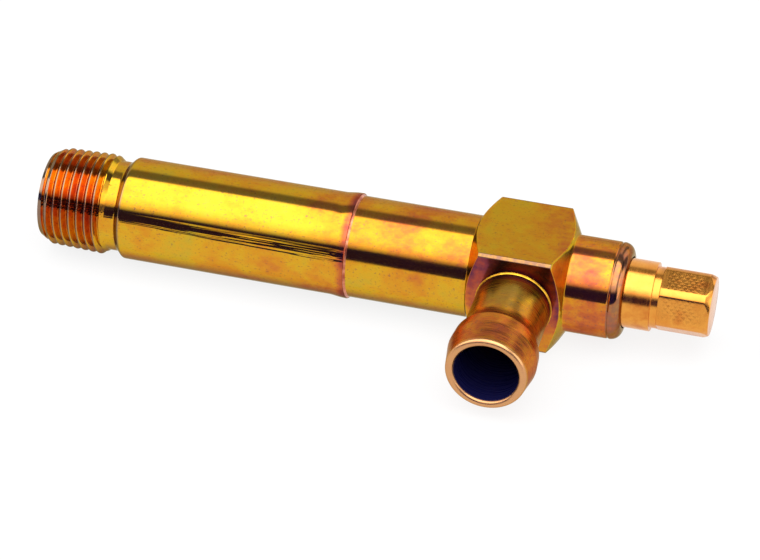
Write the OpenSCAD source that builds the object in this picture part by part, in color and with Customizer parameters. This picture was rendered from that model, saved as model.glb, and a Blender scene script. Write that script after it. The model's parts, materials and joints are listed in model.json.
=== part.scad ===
// Oil drain valve: a plated steel extension tube with a tapered pipe thread, a square valve body
// with a hose barb brazed into its side, and a brass stem that screws out to open the seat.
// +X runs from the threaded end to the stem, the barb points along -Y and +Z is up.
// The origin is the centre of the threaded end face.

/* [Extension tube] */
// Outside diameter of the extension tube
tube_d = 17.46; // [16.6:0.02:22]
// Length of the tube, from the threaded end face to the brazed seam
tube_len = 54.1; // [44:0.1:80]
// Bore of the tube
tube_bore_d = 10.5; // [8.6:0.1:10.8]
// Height of the upset lip at the seam above the tube
seam_lip_h = 0.25; // [0.1:0.05:0.5]
// Length over which the tube swells up to the lip
seam_lip_len = 2.6; // [1:0.1:6]
// Length of the flat crest of the lip
seam_land_len = 0.6; // [0.3:0.1:1.5]

/* [Tapered pipe thread] */
// Distance between thread crests
thread_pitch = 1.411; // [1.2:0.001:1.6]
// Number of crests
thread_crests = 8; // [6:1:12]
// Crest diameter at the end face, before the lead-in is cut
thread_small_d = 16.55; // [16:0.01:17]
// Axial length in which the diameter grows by 1 mm
thread_taper_run = 16; // [12:1:24]
// Width of the flat on each crest
crest_land = 0.16; // [0.1:0.01:0.25]
// Width of the flat at each root
root_land = 0.1; // [0.05:0.01:0.2]
// Diameter where the lead-in meets the end face
lead_in_d = 14.5; // [13.5:0.1:15]
// Length of the lead-in
lead_in_len = 2; // [1:0.1:3]
// Diameter of the groove behind the thread
relief_d = 15.34; // [14.6:0.01:15.8]
// Width of the groove's flat bottom
relief_w = 1.8; // [0.6:0.1:3]
// Run of the slope from the last crest into the groove, for each 1 mm of its depth
relief_run = 1.3; // [1:0.1:1.6]

/* [Square body] */
// Height of the square's flats above the round spigot
flat_rise = 0.33; // [0.2:0.01:2]
// Depth that the square's sharp corners are turned down by
corner_cut = 0.31; // [0.1:0.01:0.6]
// Length of the turned corner edge
corner_len = 12.1; // [10:0.1:16]
// Angle of the turned end chamfers, measured from the end plane
corner_chamfer = 29; // [24:1:36]
// Step from the tube down to the round spigot
seam_step = 0.11; // [0.05:0.01:0.4]
// Length of the round spigot, from the seam to the square's corner edges
spigot_len = 22.9; // [18:0.1:40]
// Height of the pilot above the tube's bore
pilot_step = 0.95; // [0.5:0.05:1.2]
// Length of the pilot
pilot_len = 5.8; // [4:0.1:9]
// Wall of the pilot
pilot_wall = 2.3; // [1.4:0.1:2.8]
// Step from the pilot's bore down to the seat opening
seat_step = 0.9; // [0.5:0.1:1.2]
// Length of the seat opening
seat_len = 2.5; // [1.5:0.1:4]
// Diameter of the valve chamber
chamber_d = 10.4; // [10.2:0.1:12]
// Length of the valve chamber
chamber_len = 10; // [9.6:0.1:13]
// Distance from the seat to the barb's axis
seat_lead = 6; // [5.8:0.1:6.2]

/* [Collar] */
// Wall of the collar around the stem
collar_wall = 1.43; // [1:0.01:1.8]
// Length of the collar, from the square's corner edges to the rolled lip
collar_len = 9.8; // [9.6:0.1:13]
// Gap between the rolled lip and the stem
lip_gap = 0.26; // [0.15:0.01:0.5]
// Length of the rolled lip
lip_len = 1.85; // [1.4:0.05:2.4]
// Thickness of the lip where it laps over the wiper ring
lip_t = 0.55; // [0.4:0.05:0.8]
// Depth of the fine turned line in front of the lip
lip_line = 0.2; // [0.06:0.02:0.3]
// Width of that line
lip_line_w = 0.5; // [0.2:0.05:0.6]

/* [Hose barb] */
// Diameter of the barb's neck
neck_d = 12.6; // [12:0.1:15.2]
// Wall of the barb
neck_wall = 0.95; // [0.7:0.05:1.4]
// Distance from the main axis to the mouth
barb_reach = 28.8; // [26:0.1:40]
// Length of the plain neck, from the main axis to the ridge
neck_reach = 19.3; // [17:0.1:24]
// Height of the ridge above the neck, at its back
ridge_back_h = 0.9; // [0.4:0.05:1.2]
// Greatest height of the ridge above the neck
ridge_h = 1.12; // [0.6:0.02:1.6]
// Length of the slope behind the ridge
ridge_slope_len = 2.2; // [1.5:0.1:3]
// Length of the ridge's nearly level crest
ridge_crest_len = 2.5; // [1.5:0.1:3.5]
// Height of the rim above the neck
rim_h = 0.45; // [0.1:0.05:0.6]
// Radius of the rim's outer edge
rim_r = 0.55; // [0.3:0.05:0.8]
// Chamfer inside the barb's mouth
mouth_chamfer = 0.3; // [0.1:0.05:0.5]
// Distance from the middle of the square's corner edges to the barb's axis
barb_offset = 0.25; // [0:0.05:0.6]
// Depth of the socket that holds the barb
socket_depth = 2.6; // [1.8:0.1:3]
// Diameter of the port between the socket and the chamber
port_d = 7.4; // [5.6:0.1:8.9]
// Height of the braze bead around the barb's root
barb_bead_h = 0.26; // [0.2:0.02:0.4]
// Length of that bead along the neck
barb_bead_len = 0.5; // [0.3:0.05:0.8]

/* [Stem] */
// Diameter of the stem's plain neck
stem_d = 11.58; // [9.6:0.02:14]
// Length of plain neck showing past the lip when the valve is shut
stem_show = 4.5; // [3.5:0.1:8]
// Pitch of the stem's thread
stem_pitch = 1.25; // [0.75:0.25:1.5]
// Turns from shut to fully open
stem_turns = 2.2; // [1:0.1:2.2]
// Outside diameter of the stem's threaded part
stem_thread_d = 9.8; // [9.2:0.1:10]
// Length of the stem's threaded part
stem_thread_len = 7.2; // [6.6:0.1:9]
// Depth of the groove between the neck and the hexagon
waist_depth = 0.64; // [0.3:0.02:1]
// Width of that groove
waist_w = 1.15; // [0.8:0.05:2]
// Distance across the flats of the hexagon
hex_af = 10; // [8:0.1:12]
// Height of the turned corners above the hexagon's flats
hex_land_h = 0.45; // [0.2:0.05:0.6]
// Length of the hexagon
hex_len = 8.6; // [7:0.1:16]
// Length of the chamfer on the hexagon's end
hex_chamfer = 1; // [0.5:0.1:1.5]
// Radial depth of that chamfer
hex_chamfer_r = 0.53; // [0.2:0.01:0.8]
// Chamfer on the hexagon's corners beside the groove
hex_edge = 0.15; // [0.1:0.05:0.3]
// Turn of the hexagon's corners about the axis when the valve is shut
hex_turn = 45; // [0:1:59]

/* [Piston and seals] */
// Height of the piston's shoulder above the stem's neck
piston_step = 0.86; // [0.6:0.02:1.4]
// Radial clearance of the piston in the collar
piston_gap = 0.07; // [0.03:0.01:0.1]
// Length of the piston
piston_len = 3.85; // [3.6:0.05:5]
// Width of the piston's seal groove
seal_groove_w = 2.6; // [2.4:0.1:3]
// Depth of the seal groove
seal_groove_depth = 1.7; // [1.3:0.1:1.9]
// Thickness of the backup ring
backup_t = 0.65; // [0.5:0.05:0.8]
// Thickness of the retaining washer
washer_t = 1; // [0.8:0.1:1.4]
// Thickness of the wiper ring
wiper_t = 0.9; // [0.7:0.1:1.2]

/* [Poppet] */
// Room around the poppet in the chamber
poppet_room = 0.9; // [0.7:0.05:1.4]
// Length of the poppet's disc
poppet_disc_len = 3.35; // [3:0.05:4]
// Wall of the poppet's hub around the pin
hub_wall = 1.35; // [1.1:0.05:1.6]
// Length of the poppet's hub
hub_len = 2.3; // [2:0.1:2.6]
// Wall of the poppet around the sealing disc
disc_seal_wall = 0.35; // [0.25:0.05:0.6]
// Thickness of the sealing disc
disc_seal_t = 1.25; // [0.9:0.05:1.5]
// How far the sealing disc stands proud of the poppet
disc_seal_proud = 0.2; // [0.1:0.05:0.3]
// Thickness of brass between the sealing disc and the pin's hole
disc_floor = 0.8; // [0.6:0.05:1]
// Diameter of the stem's pin inside the hub
pin_d = 3.2; // [2.6:0.1:3.9]
// Wire clip thickness along the axis
clip_t = 0.6; // [0.4:0.05:0.8]
// Distance from the clip to the hub's end
clip_inset = 1.6; // [1.4:0.1:1.8]
// Depth of the clip's groove in the pin
clip_depth = 0.3; // [0.2:0.05:0.4]
// How much wider than the pin the clip is
clip_over = 0.9; // [0.7:0.1:1]

/* [Fits] */
// Radial clearance of a running fit
run_gap = 0.05; // [0.02:0.01:0.09]
// Radial clearance of a loose ring around a shaft
loose_gap = 0.1; // [0.05:0.05:0.15]
// Gap on each side of the seal ring's section
seal_gap = 0.02; // [0.01:0.01:0.04]
// Radial clearance of a joint that is filled with braze
braze_gap = 0.05; // [0.03:0.01:0.1]
// Gap between faces that only just touch
face_gap = 0.05; // [0.02:0.01:0.1]
// Gap left before a stop
stop_gap = 0.1; // [0.05:0.05:0.2]

/* [Hidden] */
$fn = 96;

// Small amount by which a cutter runs past the face that it cuts
past = 1;

// Half outline of the braze at the seam and at the barb's root: [along, up], as parts of its size
seam_fillet = [[0, 0.83], [0.35, 0.4], [1.2, 0]];
root_bead = [[0, 1], [0.28, 0.92], [0.4, 0.46], [1, 0]];

// Fullness of the rolled lip's curve, and the height of the edge it ends in
lip_power = 0.8;
lip_edge = 0.12;

// Diameters that follow from the sizes above. The square clears both the spigot and the collar
seam_lip_d = tube_d + 2 * seam_lip_h;
spigot_d = tube_d - 2 * seam_step;
piston_d = stem_d + 2 * piston_step;
gland_bore_d = piston_d + 2 * piston_gap;
collar_d = gland_bore_d + 2 * collar_wall;
square_af = max(spigot_d, collar_d) + 2 * flat_rise;
corner_d = square_af * sqrt(2) - 2 * corner_cut;
pilot_d = tube_bore_d + 2 * pilot_step;
inlet_bore_d = pilot_d - 2 * pilot_wall;
seat_d = inlet_bore_d - 2 * seat_step;
seal_groove_d = piston_d - 2 * seal_groove_depth;
waist_d = stem_d - 2 * waist_depth;
hex_land_d = hex_af + 2 * hex_land_h;
hex_face_d = hex_land_d - 2 * hex_chamfer_r;
barb_bore_d = neck_d - 2 * neck_wall;
poppet_d = chamber_d - 2 * poppet_room;
disc_seal_d = poppet_d - 2 * disc_seal_wall - 2 * face_gap;
hub_d = pin_d + 2 * run_gap + 2 * hub_wall;

// Places along the main axis
seam_x = tube_len;
corner_x = seam_x + spigot_len;
corner_end_x = corner_x + corner_len;
barb_x = corner_x + corner_len / 2 + barb_offset;
lip_x = corner_end_x + collar_len;
lip_end_x = lip_x + lip_len;
seat_x = barb_x - seat_lead;
seat_start_x = seat_x - seat_len;
chamber_end_x = seat_x + chamber_len;
wiper_x = lip_end_x - lip_t - face_gap - wiper_t;
washer_x = wiper_x - face_gap - washer_t;

// The stem's travel, and its places when the valve is shut
travel = stem_turns * stem_pitch;
piston_x = washer_x - stop_gap - travel - piston_len;
gland_x = piston_x - stop_gap;
stem_thread_x = piston_x - stem_thread_len;
waist_x = lip_end_x + stem_show;
hex_x = waist_x + waist_w;
stem_end_x = hex_x + hex_len;
groove_x = piston_x + (piston_len - seal_groove_w) / 2;
seal_section = (gland_bore_d - seal_groove_d) / 2 - 2 * seal_gap;
o_ring_x = groove_x + seal_section / 2 + face_gap;
backup_x = groove_x + seal_groove_w - stop_gap - backup_t;

// The poppet's places when the valve is shut
disc_seal_x = seat_x + face_gap;
poppet_x = disc_seal_x + disc_seal_proud;
disc_seal_end_x = disc_seal_x + disc_seal_t;
hub_x = poppet_x + poppet_disc_len;
hub_end_x = hub_x + hub_len;
hub_floor_x = disc_seal_end_x + disc_floor;
pin_x = hub_floor_x + stop_gap;
clip_x = hub_end_x - clip_inset;
clip_mouth = pin_d / 2;

// Length along the axis of an end chamfer that falls by r
function cone_run(r) = r * tan(corner_chamfer);

// A solid turned about the main axis from points of [distance along X, radius]
module turned(points) {
    rotate([0, 90, 0])
        rotate_extrude()
            polygon([for (p = points) [p[1], p[0]]]);
}

// A round hole or bar on the main axis, between two places
module round_x(from, to, d) {
    translate([from, 0, 0])
        rotate([0, 90, 0])
            cylinder(h = to - from, d = d);
}

// A solid turned about the barb's axis from points of [distance from the main axis, radius]
module turned_barb(points) {
    translate([barb_x, 0, 0])
        rotate([90, 0, 0])
            rotate_extrude()
                polygon([for (p = points) [p[1], p[0]]]);
}

// Crest radius of the tapered thread at a place along the axis
function crest_r(x) = min(thread_small_d / 2 + x / thread_taper_run / 2,
                          lead_in_d / 2 + x * (thread_small_d - lead_in_d) / 2 / lead_in_len);
thread_flank = (thread_pitch - crest_land - root_land) / 2;
thread_depth = thread_flank * tan(60);
thread_end_x = thread_pitch * thread_crests;
function root_r(x) = min(thread_small_d / 2 + x / thread_taper_run / 2 - thread_depth,
                         lead_in_d / 2);
last_crest_x = thread_end_x - (thread_pitch - crest_land) / 2;
relief_start_x = last_crest_x + (crest_r(last_crest_x) - relief_d / 2) * relief_run;
relief_end_x = relief_start_x + relief_w;
tube_start_x = relief_end_x + (tube_d - relief_d) / 2;

// Outline of one thread ridge, from its left root to its right root
function ridge(i) =
    let (x0 = i * thread_pitch,
         x1 = x0 + root_land / 2 + thread_flank,
         top = crest_r(x1 + crest_land / 2),
         foot = root_r(x0),
         half = crest_land / 2 + max(0, thread_depth - (top - foot)) / tan(60),
         mid = x0 + thread_pitch / 2)
    [[x0 + root_land / 2, foot], [mid - half, top], [mid + half, top],
     [x0 + thread_pitch - root_land / 2, foot]];

module extension_tube() {
    color("goldenrod")
        difference() {
            turned(concat(
                [[0, 0]],
                [[0, root_r(0)]],
                [for (i = [0:thread_crests - 2], p = ridge(i)) p],
                [let (r = ridge(thread_crests - 1)) for (k = [0:2]) r[k]],
                [[relief_start_x, relief_d / 2], [relief_end_x, relief_d / 2],
                 [tube_start_x, tube_d / 2],
                 [seam_x - seam_land_len - seam_lip_len, tube_d / 2],
                 [seam_x - seam_land_len, seam_lip_d / 2],
                 [seam_x, seam_lip_d / 2], [seam_x, 0]]));
            round_x(-past, seam_x + past, tube_bore_d);
            round_x(seam_x - pilot_len - stop_gap, seam_x + past, pilot_d + 2 * braze_gap);
        }
}

module tube_braze() {
    fillet = (seam_lip_d - spigot_d) / 2;
    color("indianred")
        difference() {
            turned(concat(
                [[seam_x, 0]],
                [for (p = seam_fillet) [seam_x + fillet * p[0], spigot_d / 2 + fillet * p[1]]],
                [[seam_x + fillet * seam_fillet[2][0], 0]]));
            round_x(seam_x - past, seam_x + fillet + past, spigot_d);
        }
}

// The square bar with its corners and both ends turned
module square_block() {
    reach = (corner_d - spigot_d) / 2;
    far = (corner_d - collar_d) / 2;
    intersection() {
        translate([seam_x, -square_af / 2, -square_af / 2])
            cube([lip_x - seam_x, square_af, square_af]);
        turned([[corner_x - cone_run(reach), 0], [corner_x - cone_run(reach), spigot_d / 2],
                [corner_x, corner_d / 2], [corner_end_x, corner_d / 2],
                [corner_end_x + cone_run(far), collar_d / 2],
                [corner_end_x + cone_run(far), 0]]);
    }
}

// The collar and its lip, rolled in over the wiper ring
module collar() {
    r = collar_d / 2;
    inner = stem_d / 2 + lip_gap;
    drop = r - inner;
    turned(concat(
        [[corner_end_x - past, 0], [corner_end_x - past, r], [lip_x - lip_line_w, r],
         [lip_x - lip_line_w / 2, r - lip_line], [lip_x, r]],
        [for (a = [15:15:75])
            [lip_x + lip_len * sin(a), inner + drop * pow(cos(a), lip_power)]],
        [[lip_end_x, inner + lip_edge], [lip_end_x, 0]]));
}

module valve_body() {
    color("darkgoldenrod")
        difference() {
            union() {
                round_x(seam_x - pilot_len, seam_x + past, pilot_d);
                round_x(seam_x, corner_x, spigot_d);
                square_block();
                collar();
            }
            round_x(seam_x - pilot_len - past, seat_start_x, inlet_bore_d);
            round_x(seat_start_x - past, seat_x + past, seat_d);
            round_x(seat_x, chamber_end_x, chamber_d);
            round_x(chamber_end_x - past, gland_x + past, stem_thread_d + 2 * run_gap);
            round_x(gland_x, lip_end_x - lip_t, gland_bore_d);
            round_x(lip_end_x - lip_t - past, lip_end_x + past, stem_d + 2 * lip_gap);
            translate([barb_x, 0, 0])
                rotate([90, 0, 0]) {
                    cylinder(h = square_af / 2 + past, d = port_d);
                    translate([0, 0, square_af / 2 - socket_depth])
                        cylinder(h = socket_depth + past, d = neck_d + 2 * braze_gap);
                }
        }
}

module hose_barb() {
    foot = square_af / 2 - socket_depth + face_gap;
    slope_end = neck_reach + ridge_slope_len;
    crest_end = slope_end + ridge_crest_len;
    rim_edge_r = neck_d / 2 + rim_h;
    color("peru")
        difference() {
            turned_barb(concat(
                [[foot, 0], [foot, neck_d / 2], [neck_reach, neck_d / 2],
                 [slope_end, neck_d / 2 + ridge_back_h], [crest_end, neck_d / 2 + ridge_h]],
                [for (a = [0:15:90])
                    [barb_reach - rim_r + rim_r * sin(a), rim_edge_r - rim_r + rim_r * cos(a)]],
                [[barb_reach, barb_bore_d / 2 + mouth_chamfer],
                 [barb_reach - mouth_chamfer, barb_bore_d / 2], [barb_reach - mouth_chamfer, 0]]));
            translate([barb_x, 0, 0])
                rotate([90, 0, 0])
                    translate([0, 0, foot - past])
                        cylinder(h = barb_reach, d = barb_bore_d);
        }
}

module barb_braze() {
    face = square_af / 2;
    color("gold")
        difference() {
            turned_barb(concat(
                [[face, 0]],
                [for (p = root_bead)
                    [face + barb_bead_len * p[0], neck_d / 2 + barb_bead_h * p[1]]],
                [[face + barb_bead_len, 0]]));
            translate([barb_x, 0, 0])
                rotate([90, 0, 0])
                    cylinder(h = face + past + barb_bead_len, d = neck_d);
        }
}

// A flat ring around the main axis
module flat_ring(x, t, inner_d, outer_d) {
    difference() {
        round_x(x, x + t, outer_d);
        round_x(x - past, x + t + past, inner_d);
    }
}

module retaining_washer() {
    color("silver")
        flat_ring(washer_x, washer_t, stem_d + 2 * loose_gap, gland_bore_d - 2 * face_gap);
}

module wiper_ring() {
    color("dimgray")
        flat_ring(wiper_x, wiper_t, stem_d + 2 * run_gap, gland_bore_d - 2 * face_gap);
}

module poppet() {
    color("khaki")
        difference() {
            union() {
                round_x(poppet_x, hub_x, poppet_d);
                round_x(hub_x - past, hub_end_x, hub_d);
            }
            round_x(poppet_x - past, disc_seal_end_x, disc_seal_d + 2 * face_gap);
            round_x(hub_floor_x, hub_end_x + past, pin_d + 2 * run_gap);
            round_x(clip_x - face_gap, clip_x + clip_t + face_gap,
                    pin_d + clip_over + 2 * face_gap);
        }
}

module poppet_seal() {
    color("black")
        round_x(disc_seal_x, disc_seal_end_x, disc_seal_d);
}

module poppet_clip() {
    color("gray")
        difference() {
            flat_ring(clip_x, clip_t, pin_d - 2 * clip_depth + 2 * loose_gap, pin_d + clip_over);
            translate([clip_x - past, -clip_mouth / 2, 0])
                cube([clip_t + 2 * past, clip_mouth, pin_d]);
        }
}

module stem() {
    hex_end = stem_end_x - hex_chamfer;
    land = hex_land_d / 2;
    color("orange") {
        difference() {
            union() {
                round_x(pin_x, stem_thread_x + past, pin_d);
                round_x(stem_thread_x, piston_x + past, stem_thread_d);
                round_x(piston_x, piston_x + piston_len, piston_d);
                round_x(piston_x + past, waist_x, stem_d);
                round_x(waist_x - past, hex_x + past, waist_d);
                intersection() {
                    translate([hex_x, 0, 0])
                        rotate([0, 90, 0])
                            rotate([0, 0, hex_turn])
                                cylinder(h = hex_len, d = hex_af / cos(30), $fn = 6);
                    turned([[hex_x, 0], [hex_x, land - hex_edge], [hex_x + hex_edge, land],
                            [hex_end, land], [stem_end_x, hex_face_d / 2], [stem_end_x, 0]]);
                }
            }
            flat_ring(groove_x, seal_groove_w, seal_groove_d, piston_d + 2 * past);
            flat_ring(clip_x - stop_gap, clip_t + 2 * stop_gap, pin_d - 2 * clip_depth,
                      pin_d + past);
        }
    }
}

module stem_o_ring() {
    color("black")
        translate([o_ring_x, 0, 0])
            rotate([0, 90, 0])
                rotate_extrude()
                    translate([seal_groove_d / 2 + seal_gap + seal_section / 2, 0])
                        circle(d = seal_section, $fn = 48);
}

module backup_ring() {
    color("white")
        flat_ring(backup_x, backup_t, seal_groove_d + face_gap, gland_bore_d - 2 * face_gap);
}

extension_tube();
tube_braze();
valve_body();
hose_barb();
barb_braze();
retaining_washer();
wiper_ring();
poppet();
poppet_seal();
poppet_clip();
stem();
stem_o_ring();
backup_ring();
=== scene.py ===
# %% [markdown]
# # A drain valve in yellow zinc plate and brass
# The valve is a long plated tube with a tapered pipe thread, a square body with a hose barb brazed
# into its side, and a brass stem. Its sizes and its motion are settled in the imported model, which
# this script loads as a fixed frame. What is made here is the part's skin: turned and threaded
# surfaces with rounded edges, and finishes that show how each surface was made.

# %% Load the frame
import json
import math

import bpy
import numpy as np
from mathutils import Matrix, Vector

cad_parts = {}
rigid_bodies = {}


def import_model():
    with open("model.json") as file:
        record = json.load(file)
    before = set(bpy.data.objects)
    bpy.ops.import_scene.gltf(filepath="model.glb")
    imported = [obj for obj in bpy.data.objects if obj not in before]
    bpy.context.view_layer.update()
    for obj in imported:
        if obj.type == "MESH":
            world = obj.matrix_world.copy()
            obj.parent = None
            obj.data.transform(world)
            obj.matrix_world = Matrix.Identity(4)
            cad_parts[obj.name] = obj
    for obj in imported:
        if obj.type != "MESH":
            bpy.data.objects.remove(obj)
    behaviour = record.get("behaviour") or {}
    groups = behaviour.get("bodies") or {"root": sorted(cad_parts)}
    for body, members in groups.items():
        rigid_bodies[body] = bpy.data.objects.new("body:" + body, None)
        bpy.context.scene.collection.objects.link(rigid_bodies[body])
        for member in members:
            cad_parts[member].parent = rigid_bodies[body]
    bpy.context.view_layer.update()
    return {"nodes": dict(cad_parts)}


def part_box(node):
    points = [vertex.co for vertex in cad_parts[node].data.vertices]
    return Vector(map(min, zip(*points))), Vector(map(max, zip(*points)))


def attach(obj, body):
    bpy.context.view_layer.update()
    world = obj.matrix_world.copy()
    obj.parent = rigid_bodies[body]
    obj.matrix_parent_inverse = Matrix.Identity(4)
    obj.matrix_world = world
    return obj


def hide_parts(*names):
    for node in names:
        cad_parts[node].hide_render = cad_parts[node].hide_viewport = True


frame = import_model()
scene = bpy.context.scene
print("nodes:", ", ".join(sorted(frame["nodes"])))

# %% [markdown]
# The frame is in metres and the drawing is in millimetres, so one factor turns one into the other.
# Places that other pieces depend on are read from the frame's boxes instead of being typed again.

# %% Units and the places read from the frame
MM = 0.001


def span(node):
    """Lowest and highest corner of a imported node, in millimetres."""
    low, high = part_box(node)
    return low / MM, high / MM


TUBE_LOW, TUBE_HIGH = span("extension_tube")
BODY_LOW, BODY_HIGH = span("valve_body")
BARB_LOW, BARB_HIGH = span("hose_barb")
STEM_LOW, STEM_HIGH = span("stem")

SEAM_X = TUBE_HIGH.x
LIP_R = TUBE_HIGH.z
FLAT = BODY_HIGH.z
BARB_X = (BARB_LOW.x + BARB_HIGH.x) / 2
BARB_REACH = -BARB_LOW.y
print(f"seam at {SEAM_X:.2f} mm, barb at {BARB_X:.2f} mm, flats {2 * FLAT:.2f} mm apart")

# %% [markdown]
# ## The camera
# A camera on a long lens keeps the tube's two ends nearly the same size. It stands a little to the
# right of square-on and looks down by about 36 degrees. Its place is worked out from those angles
# and a distance, so it is easy to walk around the object.

# %% The camera
CAMERA_AZIMUTH = 14.13
CAMERA_ELEVATION = 35.57
CAMERA_ROLL = 1.46
CAMERA_DISTANCE = 549.0
CAMERA_LENS = 153.95
AIM = Vector((58.4, 0.0, -6.18))


def camera_axes(azimuth, elevation, roll):
    """Right, up and back directions of a camera that looks at its aim."""
    back = Vector((math.sin(azimuth) * math.cos(elevation),
                   -math.cos(azimuth) * math.cos(elevation),
                   math.sin(elevation)))
    right = Vector((math.cos(azimuth), math.sin(azimuth), 0.0))
    up = back.cross(right)
    turned_right = right * math.cos(roll) + up * math.sin(roll)
    turned_up = up * math.cos(roll) - right * math.sin(roll)
    return turned_right, turned_up, back


lens = bpy.data.cameras.new("camera")
lens.lens = CAMERA_LENS
lens.sensor_width = 36.0
lens.clip_start = 0.01
camera = bpy.data.objects.new("camera", lens)
scene.collection.objects.link(camera)
right, up, back = camera_axes(*(math.radians(a) for a in
                                (CAMERA_AZIMUTH, CAMERA_ELEVATION, CAMERA_ROLL)))
turn = Matrix((right, up, back)).transposed().to_4x4()
camera.matrix_world = Matrix.Translation((AIM + back * CAMERA_DISTANCE) * MM) @ turn
scene.camera = camera
print("camera at", [round(v, 4) for v in camera.location])

# %% [markdown]
# ## Building materials
# A material is a small tree of nodes. Colours are written as hex values, which suit the eye, and one
# function turns them into the linear values that light is worked out in. One more function adds a
# node of any kind. Values go into the node's inputs in order: another node is linked, and a number or
# a colour is set. So a sum of two patterns reads as add(tree, "Math ADD", one, other), and a range
# that is given only where it starts and ends goes from 0 to 1.

# %% Colours


def linear(hex_colour):
    """Linear red, green and blue of an sRGB hex colour, with an alpha of 1."""
    parts = [int(hex_colour[i:i + 2], 16) / 255 for i in (1, 3, 5)]
    lin = [p / 12.92 if p <= 0.04045 else ((p + 0.055) / 1.055) ** 2.4 for p in parts]
    return (*lin, 1.0)


def grey(value):
    """A grey given by its linear brightness."""
    return (value, value, value, 1.0)


print("middle grey in linear light:", round(linear("#808080")[0], 3))

# %% Adding nodes


def put(tree, socket, value):
    """Links a node or an output to an input, or sets the input to a number or a colour."""
    if isinstance(value, bpy.types.Node):
        value = next(output for output in value.outputs if output.enabled)
    if isinstance(value, bpy.types.NodeSocket):
        tree.links.new(value, socket)
    else:
        socket.default_value = value


def add(tree, kind, *values, inputs=None, stops=(), **settings):
    """Adds one node. kind is its name, and its operation or blend mode where it has one. Values go
    into its inputs in order and the dictionary inputs fills them by name. stops are the positions
    and colours of a colour ramp, and the settings are the node's own."""
    kind, _, mode = kind.partition(" ")
    node = tree.nodes.new("ShaderNode" + kind)
    if mode:
        settings["operation" if kind == "Math" else "blend_type"] = mode
    for key, value in settings.items():
        setattr(node, key, value)
    in_use = [socket for socket in node.inputs if socket.enabled]
    for socket, value in zip(in_use, values):
        put(tree, socket, value)
    for name, value in (inputs or {}).items():
        put(tree, node.inputs[name], value)
    if stops:
        band = node.color_ramp
        while len(band.elements) < len(stops):
            band.elements.new(1.0)
        for element, (position, colour) in zip(band.elements, stops):
            element.position = position
            element.color = colour
    return node


def new_material(name):
    """A material with an empty surface, its tree and the surface."""
    material = bpy.data.materials.new(name)
    material.use_nodes = True
    tree = material.node_tree
    tree.nodes.clear()
    surface = add(tree, "BsdfPrincipled")
    add(tree, "OutputMaterial", surface)
    return material, tree, surface


def fill(tree, surface, **sockets):
    """Sets or links inputs of a surface; an underscore in a name stands for a space."""
    for key, value in sockets.items():
        put(tree, surface.inputs[key.replace("_", " ")], value)


# %% [markdown]
# ## Light
# A polished tube is a mirror: what the eye reads as gold bands are the studio around it. So the light
# is drawn as a studio, in the world's background. A ramp around the tube's long axis holds the main
# parts, by angle above the horizon in front: a dark card up to 27 degrees, a wide soft box from there
# to just past the top, a narrow dark gap, and a dim white wall behind. The card is tinted dark blue.

# %% Light around the long axis
STUDIO = [
    (-180, 0.90), (-4, 0.90), (-1, 0.04), (27, 0.03), (31, 0.90), (38, 1.9), (47, 2.8), (58, 3.5),
    (104, 3.5), (109, 0.26), (127, 0.26), (134, 0.78), (150, 0.86), (180, 0.92),
]
STUDIO_TOP = 4.0
DARK_CARD = (0.9, 0.35, 6.0)
DARK_CARD_TOP = 6.0


def around(stops):
    """Places on a ramp for stops of (degrees above the horizon in front, colour)."""
    return [((degrees + 180) / 360, colour) for degrees, colour in stops]


def round_light(tree, share):
    """Light by angle. A ramp ends at 1, so both ramps are drawn as shares of their tops."""
    bright = add(tree, "ValToRGB", share, stops=around((a, grey(v / STUDIO_TOP)) for a, v in STUDIO))
    plain_card = grey(1 / DARK_CARD_TOP)
    card = (*(v / DARK_CARD_TOP for v in DARK_CARD), 1.0)
    tint = add(tree, "ValToRGB", share,
               stops=around([(0, plain_card), (2, card), (25, card), (28, plain_card)]))
    return add(tree, "Mix MULTIPLY", 1.0, bright, tint, data_type="RGBA")


print("studio ramp with", len(STUDIO), "stops, the brightest", max(v for _, v in STUDIO))

# %% [markdown]
# The soft box and the wall aren't even along the tube either. These ramps run from the left end of
# the world, at -1, to the right end, at 1. The soft box is a little dimmer to the left, the wall has
# brighter and darker panels, and a dark flag stands on the right. Flat faces that point away from the
# soft box, such as the front of the square, show these panels.

# %% Light from side to side
SOFT_BOX = [(-1.0, 0.80), (-0.22, 0.80), (-0.12, 1.0), (1.0, 1.0)]
PANELS = [(-1.0, 1.0), (-0.22, 1.0), (-0.17, 0.88), (-0.145, 0.88), (-0.138, 1.0), (-0.10, 0.65),
          (-0.05, 1.35), (0.14, 1.35), (0.20, 0.45), (0.32, 0.45), (0.40, 1.6), (0.62, 1.9),
          (0.70, 0.9), (1.0, 0.9)]
PANEL_TOP = 2.0
DARK_FLAG = [(-1.0, 1.0), (0.58, 1.0), (0.64, 0.3), (0.80, 0.3), (0.85, 1.0), (1.0, 1.0)]
RIGHT_PANEL = 2.2
WALL_START, WALL_FULL = math.radians(128), math.radians(137)


def across(stops, top):
    return [((x + 1) / 2, grey(v / top)) for x, v in stops]


def side_light(tree, share, angle, light):
    """The light with the unevenness from side to side laid over it."""
    panels = add(tree, "ValToRGB", share, stops=across(PANELS, PANEL_TOP))
    soft_box = add(tree, "ValToRGB", share, stops=across(SOFT_BOX, PANEL_TOP))
    on_wall = add(tree, "MapRange", angle, WALL_START, WALL_FULL)
    wall = add(tree, "Mix MIX", on_wall, soft_box, panels, data_type="RGBA")
    light = add(tree, "Mix MULTIPLY", 1.0, light, wall, data_type="RGBA")
    flag = add(tree, "ValToRGB", share, stops=across(DARK_FLAG, 1.0))
    return add(tree, "Mix MULTIPLY", 1.0, light, flag, data_type="RGBA")


print("wall with", len(PANELS), "stops from left to right")

# %% The studio as a world


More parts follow.
